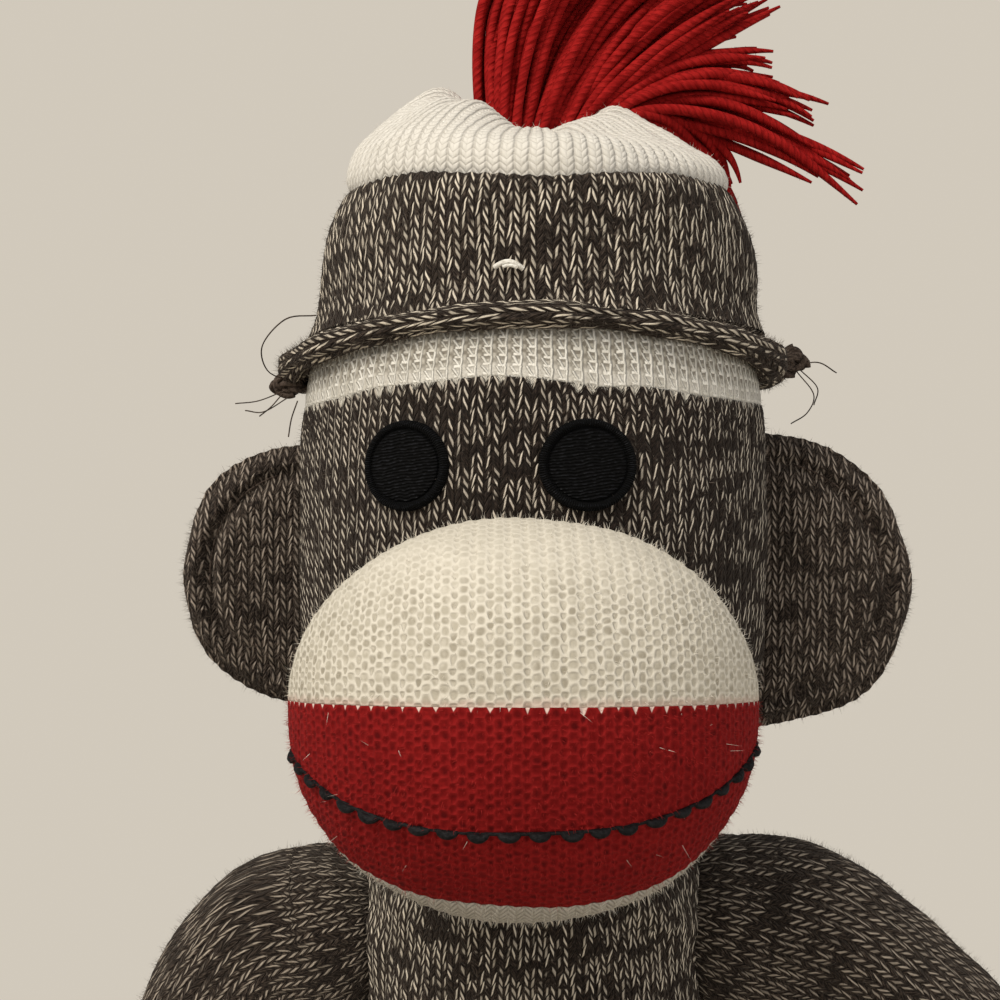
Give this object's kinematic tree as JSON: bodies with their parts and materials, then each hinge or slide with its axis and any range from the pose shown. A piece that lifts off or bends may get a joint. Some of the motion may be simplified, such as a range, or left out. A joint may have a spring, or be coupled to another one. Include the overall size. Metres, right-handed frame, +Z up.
{
  "type": "sock monkey doll",
  "caption": "Seated sock monkey doll in marled knit with stuffed limbs, a bulging muzzle, round ears and a knitted hat with a yarn tassel.",
  "frame": {"origin": "The middle of the flat seat that the doll sits on, under the middle of the body", "axes": "+Z up through the body and the head, the doll faces -Y, and its own left side is +X"},
  "size_m": [0.2111, 0.3661, 0.3351],
  "materials": {
    "marl_knit": "stockinette of dark brown and cream marled cotton",
    "cream_knit": "cream stockinette with an open stitch, slightly soiled",
    "white_knit": "off-white fine stockinette",
    "red_knit": "red fine stockinette with a light fuzz",
    "red_yarn": "red plied yarn",
    "black_thread": "black embroidery thread, slight sheen",
    "polyester_stuffing": "white polyester fibre filling"
  },
  "bodies": {
    "torso": {"body_cover": "marl_knit", "seat_patch": "red_knit", "body_stuffing": "polyester_stuffing"},
    "neck": {"neck_gather": "marl_knit"},
    "head": {"head_cover": "marl_knit", "head_top": "white_knit", "head_stuffing": "polyester_stuffing", "muzzle_upper": "cream_knit", "muzzle_lip": "red_knit", "muzzle_rim": "white_knit", "muzzle_stuffing": "polyester_stuffing", "mouth_stitch": "black_thread", "eye_left": "black_thread", "eye_right": "black_thread", "ear_left": "marl_knit", "ear_left_padding": "polyester_stuffing", "ear_right": "marl_knit", "ear_right_padding": "polyester_stuffing", "hat_brim": "marl_knit", "hat_band": "marl_knit", "hat_crown": "white_knit", "hat_tack": "white_knit"},
    "hat_tassel": {"tassel": "red_yarn"},
    "left_arm": {"arm_left": "marl_knit", "hand_left": "white_knit", "arm_left_stuffing": "polyester_stuffing"},
    "right_arm": {"arm_right": "marl_knit", "hand_right": "white_knit", "arm_right_stuffing": "polyester_stuffing"},
    "left_leg": {"leg_left": "marl_knit", "foot_left": "white_knit", "leg_left_stuffing": "polyester_stuffing"},
    "right_leg": {"leg_right": "marl_knit", "foot_right": "white_knit", "leg_right_stuffing": "polyester_stuffing"},
    "tail_body": {"tail": "marl_knit", "tail_tip": "white_knit", "tail_stuffing": "polyester_stuffing"}
  },
  "joints": [
    {"name": "neck_turn", "type": "hinge", "parent": "torso", "child": "neck", "pos_m": [0, 0, 0.1725], "axis": [0, 0, 1], "range_deg": [-45, 45], "stiffness_Nm_per_rad": 0.05},
    {"name": "neck_nod", "type": "hinge", "parent": "neck", "child": "head", "pos_m": [0, 0, 0.1725], "axis": [1, 0, 0], "range_deg": [-15, 15], "stiffness_Nm_per_rad": 0.25},
    {"name": "tassel_flop", "type": "hinge", "parent": "head", "child": "hat_tassel", "pos_m": [0.004, 0, 0.3053], "axis": [0, -1, 0], "range_deg": [0, 45]},
    {"name": "arm_left_swing", "type": "hinge", "parent": "torso", "child": "left_arm", "pos_m": [0.042, 0, 0.131], "axis": [1, 0, 0], "range_deg": [-80, 45]},
    {"name": "arm_right_swing", "type": "hinge", "parent": "torso", "child": "right_arm", "pos_m": [-0.042, 0, 0.131], "axis": [1, 0, 0], "range_deg": [-80, 45]},
    {"name": "leg_left_swing", "type": "hinge", "parent": "torso", "child": "left_leg", "pos_m": [0.022, -0.028, 0.02], "axis": [1, 0, 0], "range_deg": [-45, 90]},
    {"name": "leg_right_swing", "type": "hinge", "parent": "torso", "child": "right_leg", "pos_m": [-0.022, -0.028, 0.02], "axis": [1, 0, 0], "range_deg": [-45, 90]},
    {"name": "tail_lift", "type": "hinge", "parent": "torso", "child": "tail_body", "pos_m": [0, 0.0395, 0.015], "axis": [1, 0, 0], "range_deg": [0, 60]}
  ]
}
